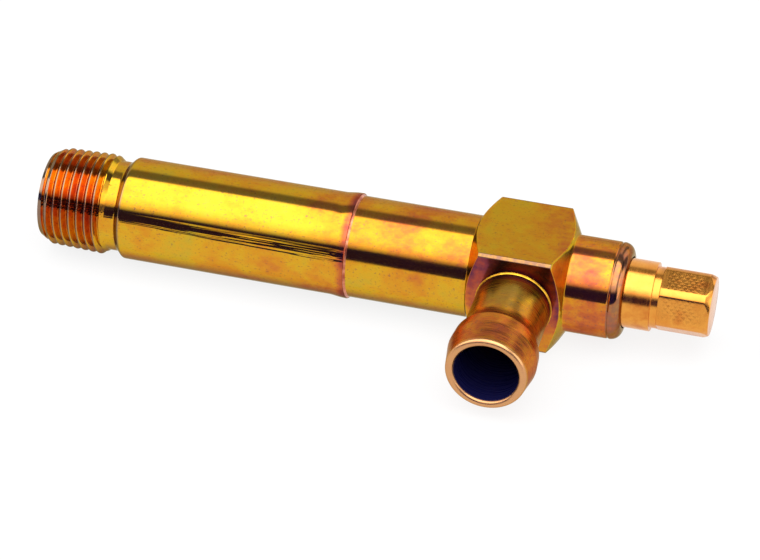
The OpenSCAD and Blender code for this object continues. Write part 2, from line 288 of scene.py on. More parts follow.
def studio(world):
    world.use_nodes = True
    tree = world.node_tree
    tree.nodes.clear()
    way = add(tree, "TexCoord").outputs["Generated"]
    parts = add(tree, "SeparateXYZ", way)
    front = add(tree, "Math MULTIPLY", parts.outputs["Y"], -1.0)
    angle = add(tree, "Math ARCTAN2", parts.outputs["Z"], front)
    turned = add(tree, "MapRange", angle, -math.pi, math.pi)
    side = add(tree, "MapRange", parts.outputs["X"], -1.0, 1.0)
    light = side_light(tree, side, angle, round_light(tree, turned))
    full = STUDIO_TOP * DARK_CARD_TOP * PANEL_TOP
    at_right = add(tree, "MapRange", parts.outputs["X"], 0.84, 0.90)
    light = add(tree, "Mix MIX", at_right, light, grey(RIGHT_PANEL / full), data_type="RGBA")
    sky = add(tree, "Background", light, full)
    add(tree, "OutputWorld", sky)


world = bpy.data.worlds.new("studio")
scene.world = world
studio(world)
scene.view_settings.view_transform = "Standard"
print("studio of", len(world.node_tree.nodes), "nodes")

# %% [markdown]
# ## The table
# The table is a large pale sheet just under the part, lit a little from below as a light table is,
# which keeps the part's shadow faint. It is matt, so it lights the lower half of the tube without
# showing a reflection of its own.

# %% The table
TABLE_HALF = 3000.0
TABLE_GAP = 0.02
table_top = min(BODY_LOW.z, TUBE_LOW.z) - TABLE_GAP
white_card, tree, surface = new_material("white_card")
fill(tree, surface, Base_Color=linear("#5E5E5E"), Roughness=0.9, Specular_IOR_Level=0.0,
     Emission_Color=linear("#FFFFFF"), Emission_Strength=0.85)
corners = [(x * TABLE_HALF * MM, y * TABLE_HALF * MM, table_top * MM)
           for x, y in ((-1, -1), (1, -1), (1, 1), (-1, 1))]
sheet = bpy.data.meshes.new("table")
sheet.from_pydata(corners, [], [(0, 1, 2, 3)])
sheet.materials.append(white_card)
table = bpy.data.objects.new("table", sheet)
scene.collection.objects.link(table)
print(f"table top at {table_top:.2f} mm")

# %% [markdown]
# ## Turning and threading
# Nearly every piece here was made on a lathe, so one function turns an outline into a skin. The
# outline is a list of (distance along the axis, radius). Corners are first rounded a little, because
# no tool leaves a perfect edge and the small curve is what catches the light. A shape function
# may change the radius with the angle, which is how flats and threads are cut.

# %% Rounding an outline's corners


def rounded(points, radius, steps=3):
    """The outline with each inner corner swapped for a short curve."""
    out = [points[0]]
    for before, corner, after in zip(points, points[1:], points[2:]):
        a, b, c = (np.array(p, float) for p in (before, corner, after))
        reach_a = min(radius, 0.45 * np.linalg.norm(a - b))
        reach_c = min(radius, 0.45 * np.linalg.norm(c - b))
        if min(reach_a, reach_c) < 1e-6:
            out.append(corner)
            continue
        start = b + (a - b) / np.linalg.norm(a - b) * reach_a
        end = b + (c - b) / np.linalg.norm(c - b) * reach_c
        for i in range(steps + 1):
            t = i / steps
            p = start * (1 - t) ** 2 + 2 * b * t * (1 - t) + end * t ** 2
            out.append((float(p[0]), float(p[1])))
    out.append(points[-1])
    return out


def spread(points, start, end, step):
    """The outline with extra points between start and end, no further apart than step."""
    out = [points[0]]
    for (x0, r0), (x1, r1) in zip(points, points[1:]):
        inside = min(x0, x1) < end and max(x0, x1) > start
        parts = max(1, math.ceil(abs(x1 - x0) / step)) if inside else 1
        out += [(x0 + (x1 - x0) * i / parts, r0 + (r1 - r0) * i / parts)
                for i in range(1, parts + 1)]
    return out


# %% [markdown]
# An outline is drawn flat. Two functions say where its points go: around the main axis, or around
# the axis of the barb, which points forward.

# %% Around which axis


def on_main_axis(along, radius, angle):
    return along, radius * np.cos(angle), radius * np.sin(angle)


def on_barb_axis(along, radius, angle):
    return BARB_X + radius * np.cos(angle), -along, radius * np.sin(angle)


# %% The lathe
SHARP = math.radians(33)


def as_object(name, vertices, faces, body, slot, material, stands_for):
    mesh = bpy.data.meshes.new(name)
    mesh.from_pydata([tuple(c * MM for c in v) for v in vertices], [], faces)
    mesh.validate()
    mesh.shade_smooth()
    mesh.set_sharp_from_angle(angle=SHARP)
    mesh.materials.append(material)
    piece = bpy.data.objects.new(name, mesh)
    scene.collection.objects.link(piece)
    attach(piece, body)
    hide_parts(stands_for)
    print(f"{name}: {len(mesh.vertices)} points, {len(mesh.polygons)} faces")


def ring_faces(count, width, loop):
    """Four-sided faces between rings of points; loop also joins the last ring to the first."""
    faces = []
    for i in range(count if loop else count - 1):
        here, there = i * width, (i + 1) % count * width
        faces += [(here + j, here + (j + 1) % width, there + (j + 1) % width, there + j)
                  for j in range(width)]
    return faces


def pole_faces(vertices, count, width, poles):
    """Adds the two points where a skin ends on its axis, and gives the faces around them."""
    faces = []
    for point, ring in zip(poles, (0, (count - 1) * width)):
        pole = len(vertices)
        vertices.append(point)
        for j in range(width):
            near, far = ring + j, ring + (j + 1) % width
            faces.append((pole, far, near) if ring == 0 else (pole, near, far))
    return faces


def lathe(outline, columns, place=on_main_axis, shape=None):
    """Points and faces of a turned skin. The outline is a closed loop, or ends on the axis."""
    loop = outline[0][1] > 1e-6
    rings = outline if loop else outline[1:-1]
    angles = np.arange(columns) * 2 * math.pi / columns
    points = []
    for along, radius in rings:
        radii = np.full(columns, float(radius)) if shape is None else shape(along, radius, angles)
        x, y, z = place(along, radii, angles)
        points.append(np.stack(np.broadcast_arrays(x, y, z), 1))
    vertices = [tuple(p) for p in np.concatenate(points)]
    faces = ring_faces(len(rings), columns, loop)
    if not loop:
        poles = [tuple(float(c) for c in place(x, 0.0, 0.0)) for x, _ in (outline[0], outline[-1])]
        faces += pole_faces(vertices, len(rings), columns, poles)
    return vertices, faces


def soft_min(a, b, blend):
    """The smaller of two radii, with the edge between them rounded over."""
    near = np.maximum(blend - np.abs(a - b), 0) / blend
    return np.minimum(a, b) - near ** 2 * blend / 4


# %% [markdown]
# ## Joining skins
# A thread and the tube behind it make one piece. Their skins are laid edge to edge with the same
# number of points, and points in the same place are then merged, so the piece is one closed skin.

# %% Join and merge
MERGE = 0.002


def merged(*skins):
    """One skin from several. Points closer than MERGE become one, and faces that shrank to nothing
    are left out."""
    grid, keep, out = {}, [], []
    for vertices, faces in skins:
        number = []
        for v in vertices:
            key = tuple(round(c / MERGE) for c in v)
            if key not in grid:
                grid[key] = len(keep)
                keep.append(v)
            number.append(grid[key])
        for face in faces:
            ring = [number[i] for i in face]
            ring = [p for p, after in zip(ring, ring[1:] + ring[:1]) if p != after]
            if len(set(ring)) > 2 and len(set(ring)) == len(ring):
                out.append(tuple(ring))
    return keep, out


# %% [markdown]
# ## Patterns on a finish
# Every finish needs something uneven: clouds in a film, scratches, pits, rings from a tool. They are
# all noise that is stretched to the size of the real marks. A scale counts grains in a metre, so
# 2600 gives grains of about 0.4 mm. Scratches that are finer than that are drawn as coarse, because
# they wouldn't show otherwise.

# %% Patterns


def placed(tree, scales):
    """The place on the object in metres, times a scale for each axis."""
    where = add(tree, "TexCoord").outputs["Object"]
    return add(tree, "Mapping", inputs={"Vector": where, "Scale": scales})


def grains(tree, scales, detail=3.0):
    """Noise between 0 and 1 whose grains are 1/scale metres long on each axis."""
    return add(tree, "TexNoise", placed(tree, scales), 1.0, detail, 0.55)


def axis_parts(tree):
    """X, Y and Z of the place in millimetres."""
    parts = add(tree, "SeparateXYZ", placed(tree, (1 / MM, 1 / MM, 1 / MM)))
    return parts.outputs["X"], parts.outputs["Y"], parts.outputs["Z"]


def radius_from(tree, a, b):
    """Distance from an axis, from the two coordinates across it."""
    squares = add(tree, "Math MULTIPLY_ADD", a, a, add(tree, "Math MULTIPLY", b, b))
    return add(tree, "Math SQRT", squares)


# %% [markdown]
# ## Yellow zinc plate
# The steel is electroplated with zinc and dipped in a yellow chromate bath. The film is thinner than
# a wavelength of light, so its colour comes from its thickness and drifts from gold through orange
# and copper to a dark violet. It could be painted as patches of colour. Here one ramp holds the
# colours in the order of thickness, and the patterns and places below say how thick the film is; a few
# of those places paint a reflection, a highlight or shade into the film.
#
# The plate is a metal under a faint haze: a fully metallic surface that is dimmer where it is seen at
# a slant, with a thin rough coat for the haze. Drawn tube keeps fine scratches along its length, and
# a turned face keeps rings around its axis. Both have small dark pits.

# %% Yellow zinc plate
FILM = ("#C4A328", "#D4A01C", "#D38C1C", "#C4662A", "#9C4033", "#66283C", "#3A1E42")
PIT_COLOUR = "#7A4A48"
HAZE_EDGE = "#B8A46C"
ALONG_X = (90.0, 2600.0, 2600.0)
AROUND_Y = (160.0, 3600.0, 160.0)


def film_colour(tree, start, drift, by_place):
    """Colour from the film's thickness, where 0 is the gold end of the ramp and 1 the violet end."""
    cloud = grains(tree, (130.0, 130.0, 130.0), detail=5.0)
    fine_cloud = grains(tree, (620.0, 900.0, 900.0))
    film = add(tree, "MapRange", cloud, 0.35, 0.65, start - drift, start + drift)
    film = add(tree, "Math ADD", film, add(tree, "MapRange", fine_cloud, 0.3, 0.7, -0.07, 0.07))
    film = add(tree, "Math ADD", film, by_place)
    count = len(FILM) - 1
    return add(tree, "ValToRGB", film, stops=[(i / count, linear(c)) for i, c in enumerate(FILM)])


def zinc_plate(name, start, drift, scratches, roughness, depth, film_at, patches, dents=None):
    """Plated steel. film_at, the patches and dents are functions of place: what the film gains, partly
    painted light, where the surface is rubbed, dulled or painted with shade (with the colour there, and
    whether it hides the metal), and what the surface's height gains. depth and dents are in millimetres."""
    material, tree, surface = new_material(name)
    where = axis_parts(tree)
    colour = film_colour(tree, start, drift, film_at(tree, *where))
    pits = grains(tree, (2600.0, 3000.0, 3000.0), detail=2.0)
    marks = grains(tree, scratches, detail=2.0)
    pitted = add(tree, "MapRange", pits, 0.61, 0.72, 0.0, 0.7)
    colour = add(tree, "Mix MIX", pitted, colour, linear(PIT_COLOUR), data_type="RGBA")
    surface.inputs["Metallic"].default_value = 1.0
    for place, patch_colour, hides_metal in patches:
        share = place(tree, *where)
        colour = add(tree, "Mix MIX", share, colour, linear(patch_colour), data_type="RGBA")
        if hides_metal:
            put(tree, surface.inputs["Metallic"], add(tree, "MapRange", share, 0.0, 1.0, 1.0, 0.0))
    height = add(tree, "Math MULTIPLY", add(tree, "Math ADD", marks, pits), depth)
    if dents:
        height = add(tree, "Math ADD", height, dents(tree, *where))
    fill(tree, surface, Base_Color=colour, Specular_Tint=linear(HAZE_EDGE),
         Roughness=add(tree, "MapRange", marks, 0.3, 0.7, roughness * 0.7, roughness * 1.35),
         Normal=add(tree, "Bump", inputs={"Height": height, "Distance": MM}),
         Coat_Weight=0.25, Coat_Roughness=0.3)
    print(f"{name}: {len(tree.nodes)} nodes")
    return material


# %% [markdown]
# ## The extension tube and its pipe thread
# A tapered pipe thread seals on its own flanks as it is screwed in, because it grows by 1 mm in
# every 16. The die cuts one long spiral groove, so the thread is made the same way here: a tape with
# the shape of one ridge is wound around the cone. Where the tape would stand above the turned cone,
# the lead-in or the groove behind the thread, it is cut down to it.

# %% Sizes of the tube
PITCH = 1.411
CRESTS = 8
SMALL_R = 8.275
TAPER = 1 / 32
CREST_LAND = 0.16
ROOT_LAND = 0.10
LEAD_R = 7.25
LEAD_LEN = 2.0
FLANK = (PITCH - CREST_LAND - ROOT_LAND) / 2
DEPTH = FLANK * math.tan(math.radians(60))
THREAD_END = PITCH * CRESTS - (PITCH - CREST_LAND) / 2
GROOVE_R = 7.67
GROOVE_START = 11.9
GROOVE_END = 13.68
TUBE_R = 8.73
TUBE_START = 14.74
BORE_R = 5.25
SOCKET_R = 6.25
SOCKET_LEN = 5.9
SWELL_START = SEAM_X - 3.2
LIP_START = SEAM_X - 0.6
COLUMNS = 144
FACING = 143.6 / 360
THREAD_SHIFT = 0.16


def thread_envelope(x):
    """Radius that the lathe left before the thread was cut."""
    cone = SMALL_R + x * TAPER
    lead = LEAD_R + x * (SMALL_R + LEAD_LEN * TAPER - LEAD_R) / LEAD_LEN
    last = SMALL_R + THREAD_END * TAPER
    fall = last - np.maximum(x - THREAD_END, 0) * (last - GROOVE_R) / (GROOVE_START - THREAD_END)
    return np.minimum(np.minimum(cone, lead), fall)


print(f"thread of {CRESTS} crests, {THREAD_END:.2f} mm long and {DEPTH:.2f} mm deep")

# %% The thread as a wound tape


def ridge_shape():
    """One pitch of the thread as (share of the pitch, depth below the crest)."""
    half_root, half_crest = ROOT_LAND / 2, CREST_LAND / 2
    middle = PITCH / 2
    corners = [(0.0, DEPTH), (half_root, DEPTH), (middle - half_crest, 0.0),
               (middle + half_crest, 0.0), (PITCH - half_root, DEPTH), (PITCH, DEPTH)]
    smooth = rounded(corners, 0.07, steps=2)
    return spread(smooth, 0, PITCH, 0.09)[:-1]


def wound_thread():
    shape = ridge_shape()
    first = -PITCH * 1.5
    turns = math.ceil((GROOVE_START - first) / PITCH) + 1
    steps = turns * COLUMNS + 1
    share = np.arange(steps) / COLUMNS
    angle = 2 * math.pi * share
    vertices = []
    for s, a in zip(share, angle):
        for along, below in shape:
            x = first + PITCH * (s - FACING) + along + THREAD_SHIFT
            x = min(max(x, 0.0), GROOVE_START)
            top = float(thread_envelope(x))
            r = max(SMALL_R + x * TAPER - below, GROOVE_R if x > THREAD_END else 0.0)
            r = top if x in (0.0, GROOVE_START) else min(r, top)
            vertices.append((x, r * math.cos(a), r * math.sin(a)))
    width = len(shape)
    faces = []
    for s in range(steps - 1):
        for j in range(width):
            here = (s * width + j, (s + 1) * width + j)
            if j < width - 1:
                there = (here[0] + 1, here[1] + 1)
            else:
                there = ((s + COLUMNS) * width, (s + 1 + COLUMNS) * width)
            if there[1] < steps * width:
                faces.append((here[0], here[1], there[1], there[0]))
    return vertices, faces


# %% The whole tube
swell = [(SWELL_START + (LIP_START - SWELL_START) * t,
          TUBE_R + (LIP_R - TUBE_R) * (3 * t ** 2 - 2 * t ** 3)) for t in np.linspace(0, 1, 9)]
behind_thread = rounded(
    [(GROOVE_START, GROOVE_R), (GROOVE_END, GROOVE_R), (TUBE_START, TUBE_R)]
    + [(float(x), TUBE_R) for x in np.linspace(TUBE_START + 1, SWELL_START - 1, 12)], 0.25)
behind_thread += [(float(x), float(r)) for x, r in swell]
end_and_bore = rounded(
    [swell[-1], (SEAM_X, LIP_R), (SEAM_X, SOCKET_R), (SEAM_X - SOCKET_LEN, SOCKET_R),
     (SEAM_X - SOCKET_LEN, BORE_R), (0.0, BORE_R), (0.0, LEAD_R)], 0.12)
# The lathe closes an outline into a loop. The last ring of faces is left off for the thread.
turned, turned_faces = lathe(behind_thread + end_and_bore[1:], COLUMNS)
tube_skin = merged(wound_thread(), (turned, turned_faces[:-COLUMNS]))
print("tube skin:", len(tube_skin[0]), "points")

# %% [markdown]
# **The plate on the tube.** Each place on a piece changes the film a little, so each is a function
# that gives a share of the ramp. In the thread the film is thicker at the roots, because the bath
# drains slowly there. It is thicker again by the seam, where the braze was hot, and it warms slowly
# along the tube towards it.

# %% Film on the tube


def below_crest(tree, x, r):
    """How far a place on the thread lies below the crests, in millimetres."""
    tapered = add(tree, "Math MULTIPLY_ADD", x, TAPER, SMALL_R)
    lead = add(tree, "Math MULTIPLY_ADD", x, (SMALL_R - LEAD_R) / LEAD_LEN, LEAD_R)
    return add(tree, "Math SUBTRACT", add(tree, "Math MINIMUM", tapered, lead), r)


def tube_film(tree, x, y, z):
    """Thicker film down in the thread and by the hot seam."""
    below = below_crest(tree, x, radius_from(tree, y, z))
    deep = add(tree, "MapRange", below, 0.04, 0.45, 0.13, 0.24)
    threaded = add(tree, "MapRange", x, THREAD_END - 0.6, THREAD_END + 0.4, 1.0, 0.0)
    seam = add(tree, "MapRange", x, SEAM_X - 1.4, SEAM_X - 0.3, 0.0, 0.34)
    warmer = add(tree, "MapRange", x, 20.0, SEAM_X, 0.0, 0.10)
    return add(tree, "Math MULTIPLY_ADD", deep, threaded, add(tree, "Math ADD", seam, warmer))


# %% [markdown]
# The plate wears off where things rub: on the thread's crests, which turn the pale colour of bare
# zinc, and on the shoulder behind the groove. The underside is painted dark brown as shade. Both are
# masks between 0 and 1, with a colour for each.

# %% Wear and painted shade on the tube


def crest_wear(tree, x, y, z):
    """1 on the thread's crests and on the shoulder behind the groove."""
    below = below_crest(tree, x, radius_from(tree, y, z))
    proud = add(tree, "MapRange", below, 0.01, 0.07, 0.85, 0.0)
    threaded = add(tree, "MapRange", x, THREAD_END, THREAD_END + 0.4, 1.0, 0.0)
    from_groove = add(tree, "MapRange", x, GROOVE_END + 0.1, GROOVE_END + 0.3, 0.0, 0.8)
    to_tube = add(tree, "MapRange", x, TUBE_START - 0.1, TUBE_START + 0.3, 1.0, 0.0)
    shoulder = add(tree, "Math MULTIPLY", from_groove, to_tube)
    return add(tree, "Math MULTIPLY_ADD", proud, threaded, shoulder)


def underside_painted_shade(tree, x, y, z):
    """Towards 1 on the underside, where dark brown is painted as shade."""
    return add(tree, "MapRange", z, -3.2, -7.2, 0.0, 0.75)


# %% [markdown]
# The tube was drawn through a die, and a worn spot on the die left long shallow lines low on the front.
# They are noise stretched along the tube, kept to a strip between two angles, and they go into the
# height of the surface, so that the dark reflection there breaks up into streaks.

# %% Lines from drawing


def drawing_lines(tree, x, y, z):
    """Height in millimetres of the long lines on the front of the tube."""
    turned_to = add(tree, "Math ARCTAN2", z, add(tree, "Math MULTIPLY", y, -1.0))
    above = add(tree, "MapRange", turned_to, math.radians(6), math.radians(12))
    below = add(tree, "MapRange", turned_to, math.radians(24), math.radians(29), 1.0, 0.0)
    along = add(tree, "MapRange", x, GROOVE_END + 1.5, GROOVE_END + 12.0, 0.4, 1.0)
    strip = add(tree, "Math MULTIPLY", add(tree, "Math MULTIPLY", above, below), along)
    lines = grains(tree, (50.0, 1500.0, 1500.0), detail=2.0)
    return add(tree, "Math MULTIPLY", add(tree, "Math MULTIPLY", strip, lines), 0.12)


# %% The tube
# The dark brown under the tube and the spigot is painted shade.
UNDERSIDE_SHADE = "#3E3822"
RUBBED_ZINC = "#75665F"
tube_plate = zinc_plate("yellow_zinc_plate_on_drawn_tube", start=0.18, drift=0.14, scratches=ALONG_X,
                        roughness=0.085, depth=0.0014, film_at=tube_film, dents=drawing_lines,
                        patches=[(underside_painted_shade, UNDERSIDE_SHADE, False), (crest_wear, RUBBED_ZINC, False)])
as_object("threaded_tube", *tube_skin, "valve", "plated_steel", tube_plate, "extension_tube")

# %% [markdown]
# ## Flats on round bar
# The body started as square bar and the stem's end as hexagon bar, and both were then turned, so
# their corners are round and their flats are cut off by cones at the ends. A ring of such a skin is
# a circle with flats across it. The points of each ring are set out so that some fall exactly on
# the edge between flat and round, and the edge is eased by a small blend.

# %% Rings with flats
ON_FLAT = (-1.0, -0.75, -0.5, -0.25, 0.0, 0.25, 0.5, 0.75)
BLEND_STEPS = (-1.0, -0.5, 0.0, 0.5, 1.0)


def flatted_ring(radius, flats, half_flat, edge, columns, blend):
    """Angles and radii of one ring; half_flat None leaves it round but keeps the same points."""
    if half_flat is None:
        limit, soft = edge, 0.0
    else:
        limit = math.acos(min(1.0, half_flat / radius))
        soft = min(blend, 0.5 * max(radius - half_flat, 0.0))
    slope = (half_flat or 1.0) * math.tan(limit) / math.cos(limit)
    ease = min(soft / slope, 0.3 * limit) if slope > 1e-6 else 0.0
    pitch = 2 * math.pi / flats
    angles = []
    for k in range(flats):
        middle = k * pitch
        inner, outer = limit - ease, limit + ease
        angles += [middle + math.atan(t * math.tan(inner)) for t in ON_FLAT]
        angles += [middle + limit + t * ease for t in BLEND_STEPS]
        angles += [middle + outer + (pitch - 2 * outer) * i / columns for i in range(1, columns)]
        angles += [middle + pitch - limit + t * ease for t in BLEND_STEPS[:-1]]
    angles = np.array(angles)
    radii = np.full(len(angles), float(radius))
    if half_flat is not None and limit > 1e-6:
        off = (angles + pitch / 2) % pitch - pitch / 2
        flat = half_flat / np.cos(off)
        radii = soft_min(radii, flat, soft) if soft > 1e-6 else np.minimum(radii, flat)
    return angles, radii


def flatted_skin(rings, flats, columns, blend, turn, edge=0.0):
    """Skin through rings of (along, radius, half_flat or None)."""
    loop = rings[0][1] > 1e-6
    body = rings if loop else rings[1:-1]
    vertices, width = [], 0
    for along, radius, half_flat in body:
        angles, radii = flatted_ring(radius, flats, half_flat, edge, columns, blend)
        width = len(angles)
        vertices += [(float(along), float(r * math.cos(a + turn)), float(r * math.sin(a + turn)))
                     for a, r in zip(angles, radii)]
    faces = ring_faces(len(body), width, loop)
    if not loop:
        poles = [(float(x), 0.0, 0.0) for x, _, _ in (rings[0], rings[-1])]
        faces += pole_faces(vertices, len(body), width, poles)
    return merged((vertices, faces))


# %% [markdown]
# ## The square body
# The bar is turned to a round spigot on the left and a collar on the right. The cutting tool left a
# cone on each end of the square, so each flat ends in a curve, and it took the sharp corners off. The
# lip at the end of the collar was rolled inwards to hold the washer and the wiper ring.

# %% Sizes of the body
SPIGOT_R = 8.62
CORNER_R = 12.346
CORNER_X = SEAM_X + 22.9
CORNER_END = CORNER_X + 12.1
COLLAR_R = 8.15
LIP_X = CORNER_END + 9.8
LIP_LEN = 1.85
LIP_END = LIP_X + LIP_LEN
LIP_INNER = 6.05
CONE = math.tan(math.radians(29))
PILOT_R = 6.2
PILOT_START = SEAM_X - 5.8
PILOT_BORE_R = 3.9
SEAT_X = BARB_X - 6.0
GLAND_R = 6.72
BORES = ((LIP_END, LIP_INNER), (LIP_END - 0.55, GLAND_R), (SEAT_X + 14.1, 4.95),
         (SEAT_X + 10.0, 5.2), (SEAT_X, 3.0), (SEAT_X - 2.5, PILOT_BORE_R))
print(f"square {CORNER_END - CORNER_X:.1f} mm long, collar to {LIP_END:.1f} mm")

# %% The body's outline
left_cone = CORNER_X - (CORNER_R - SPIGOT_R) * CONE
right_cone = CORNER_END + (CORNER_R - COLLAR_R) * CONE
lip_drop = COLLAR_R - LIP_INNER
lip = [(LIP_X + LIP_LEN * math.sin(math.radians(a)),
        LIP_INNER + lip_drop * math.cos(math.radians(a)) ** 0.8) for a in range(10, 81, 10)]
outside = rounded(
    [(PILOT_START, PILOT_BORE_R), (PILOT_START, PILOT_R), (SEAM_X, PILOT_R), (SEAM_X, SPIGOT_R),
     (left_cone, SPIGOT_R), (CORNER_X, CORNER_R), (CORNER_END, CORNER_R),
     (right_cone, COLLAR_R), (LIP_X - 0.5, COLLAR_R), (LIP_X - 0.25, COLLAR_R - 0.2),
     (LIP_X, COLLAR_R)] + lip + [(LIP_END, LIP_INNER + 0.12), (LIP_END, LIP_INNER)],
    0.12)
outside = spread(outside, left_cone, right_cone, 0.18)
inside = []
for (_, before), (along, after) in zip(BORES, BORES[1:]):
    inside += [(along, before), (along, after)]
inside = rounded([(LIP_END, LIP_INNER)] + inside + [(PILOT_START, PILOT_BORE_R)], 0.08)[1:-1]
print("body outline:", len(outside), "points outside,", len(inside), "inside")

# %% [markdown]
# The port is drilled into the body's front flat after turning, with a wider socket for the barb, so
# here it is cut out of the skin in the same way, with a drill-shaped cutter.

# %% Cut the port and make the body
PORT_R = 3.7
BARB_SOCKET_R = 6.35
BARB_SOCKET_DEPTH = 2.6


def drilled(vertices, faces, cutter):
    """The skin with another closed skin cut out of it."""
    objects = []
    for points, polygons in ((vertices, faces), cutter):
        mesh = bpy.data.meshes.new("blank")
        mesh.from_pydata(points, [], polygons)
        objects.append(bpy.data.objects.new("blank", mesh))
        scene.collection.objects.link(objects[-1])
    target, tool = objects
    cut = target.modifiers.new("drill", "BOOLEAN")
    cut.operation, cut.object, cut.solver = "DIFFERENCE", tool, "EXACT"
    bpy.context.view_layer.update()
    solid = target.evaluated_get(bpy.context.evaluated_depsgraph_get()).to_mesh()
    out = ([tuple(v.co) for v in solid.vertices], [tuple(f.vertices) for f in solid.polygons])
    for thing in objects:
        mesh = thing.data
        bpy.data.objects.remove(thing)
        bpy.data.meshes.remove(mesh)
    return out


body_rings = [(x, r, FLAT) for x, r in outside] + [(x, r, None) for x, r in inside]
body_skin = flatted_skin(body_rings, 4, 24, 0.08, 0.0)
socket_end = FLAT - BARB_SOCKET_DEPTH
drill = [(0.0, 0.0), (0.0, PORT_R), (socket_end, PORT_R), (socket_end, BARB_SOCKET_R),
         (FLAT + 1.0, BARB_SOCKET_R), (FLAT + 1.0, 0.0)]
body_skin = drilled(*body_skin, lathe(drill, 96, on_barb_axis))
print("drilled body:", len(body_skin[0]), "points")

# %% [markdown]
# ** The plate on the body.** The steel behind each face was machined in its own way, so the film differs
# by face: a little redder to the right on the top flat, thin and golden on the turned cones, copper on
# the collar, and orange on the spigot's upper side. The front flat is painted from dark red low down to
# dark violet at the top, a painted reflection of the barb and the shade in front of it.

# %% Film on the body


def on_end_cone(tree, x, r):
    """1 on the two turned cones at the ends of the square, 0 elsewhere."""
    found = []
    for edge, way, low in ((CORNER_X, 1.0, SPIGOT_R), (CORNER_END, -1.0, COLLAR_R)):
        run = add(tree, "Math MULTIPLY", add(tree, "Math SUBTRACT", x, edge), way / CONE)
        under = add(tree, "Math SUBTRACT", add(tree, "Math SUBTRACT", r, run), CORNER_R)
        near = add(tree, "Math MULTIPLY", add(tree, "MapRange", under, -0.14, -0.05),
                   add(tree, "MapRange", under, 0.05, 0.14, 1.0, 0.0))
        raised = add(tree, "MapRange", r, low, low + 0.15)
        found.append(add(tree, "Math MULTIPLY", near, raised))
    return add(tree, "Math ADD", *found)


def flats_film_and_painted_reflection(tree, x, y, z):
    """The front flat is painted from dark red low down to dark violet at the top, as a reflection, and
    the top flat's film grows to the right.
    """
    front = add(tree, "MapRange", y, -FLAT + 0.05, -FLAT - 0.02)
    # Painted reflection: dark red low on the front flat, dark violet at the top, less so left of the
    # barb.
    high = add(tree, "MapRange", z, -7.0, 6.0, 0.26, 0.88)
    left = add(tree, "MapRange", x, BARB_X - 9.5, BARB_X - 5.0, -0.3, 0.0)
    top = add(tree, "MapRange", z, FLAT - 0.05, FLAT + 0.02)
    rightward = add(tree, "MapRange", x, CORNER_X, CORNER_END, -0.06, 0.14)
    on_top = add(tree, "Math MULTIPLY", top, rightward)
    return add(tree, "Math MULTIPLY_ADD", front, add(tree, "Math ADD", high, left), on_top)


def body_film_and_painted_reflection(tree, x, y, z):
    collar = add(tree, "MapRange", x, CORNER_END + 1.0, CORNER_END + 3.0, 0.0, 0.24)
    upward = add(tree, "MapRange", z, -2.0, 4.0, -0.05, 0.13)
    on_spigot = add(tree, "MapRange", x, CORNER_X - 1.0, CORNER_X, 1.0, 0.0)
    film = add(tree, "Math MULTIPLY_ADD", upward, on_spigot, collar)
    cones = on_end_cone(tree, x, radius_from(tree, y, z))
    film = add(tree, "Math MULTIPLY_ADD", cones, -0.3, film)
    return add(tree, "Math ADD", flats_film_and_painted_reflection(tree, x, y, z), film)


# %% [markdown]
# The square's turned corners and the rolled lip are rubbed to a dull pink, more in some places than in
# others. The spigot's underside gets the same painted shade as the tube's.

# %% Wear on the body, and the body


def spigot_underside_painted_shade(tree, x, y, z):
    """Towards 1 on the underside of the spigot, where dark brown is painted as shade."""
    on_spigot = add(tree, "MapRange", x, CORNER_X - 0.6, CORNER_X, 1.0, 0.0)
    return add(tree, "Math MULTIPLY", underside_painted_shade(tree, x, y, z), on_spigot)


def corner_wear(tree, x, y, z):
    """Towards 1 on the turned corners of the square and on the rolled lip."""
    corners = add(tree, "MapRange", radius_from(tree, y, z), CORNER_R - 0.14, CORNER_R - 0.04, 0.0, 0.9)
    lip_zone = add(tree, "MapRange", x, LIP_X - 0.45, LIP_X - 0.3, 0.0, 0.72)
    patchy = grains(tree, (900.0, 900.0, 900.0), detail=2.0)
    uneven_edge = add(tree, "MapRange", patchy, 0.35, 0.6, 0.6, 1.0)
    return add(tree, "Math MULTIPLY", add(tree, "Math ADD", corners, lip_zone), uneven_edge)


RUBBED_PINK = "#7C5A4E"
# The dark brown under the spigot is painted shade.
body_plate = zinc_plate("yellow_zinc_plate_on_machined_steel", start=0.22, drift=0.12,
                        scratches=ALONG_X, roughness=0.10, depth=0.0014, film_at=body_film_and_painted_reflection,
                        patches=[(spigot_underside_painted_shade, UNDERSIDE_SHADE, False), (corner_wear, RUBBED_PINK, False)])
as_object("square_body", *body_skin, "valve", "plated_steel", body_plate, "valve_body")

# %% [markdown]
# ## The hose barb
# The barb is a short tube with one ridge. A hose slides over the gentle front of the ridge and can't
# come back over its steep edge. The mouth has a thick round rim.

# %% Sizes and outline of the barb
NECK_R = 6.3
BARB_BORE_R = 5.35
NECK_END = 19.3
SLOPE_END = NECK_END + 2.2
CREST_END = SLOPE_END + 2.5
RIDGE_BACK = NECK_R + 0.9
RIDGE_R = NECK_R + 1.12
RIM_EDGE = NECK_R + 0.45
BARB_FOOT = FLAT - BARB_SOCKET_DEPTH + 0.05
EASE_IN = 1.2

slope = [(NECK_END - EASE_IN + (SLOPE_END - NECK_END + EASE_IN) * t,
          NECK_R + (RIDGE_BACK - NECK_R) * t ** 1.6) for t in np.linspace(0, 1, 9)]
rim_middle = (RIM_EDGE + BARB_BORE_R) / 2
rim_half = (RIM_EDGE - BARB_BORE_R) / 2
rim = [(BARB_REACH - rim_half * (1 - math.sin(math.radians(a))),
        rim_middle + rim_half * math.cos(math.radians(a))) for a in range(0, 181, 12)]
barb_outline = rounded(
    [(BARB_FOOT, BARB_BORE_R), (BARB_FOOT, NECK_R)] + slope + [(CREST_END, RIDGE_R)] + rim
    + [(BARB_FOOT + 0.1, BARB_BORE_R)], 0.14)
barb_outline = spread(barb_outline, FLAT, BARB_REACH, 0.8)
barb_skin = lathe(barb_outline, 128, on_barb_axis)
print("barb outline:", len(barb_outline), "points")
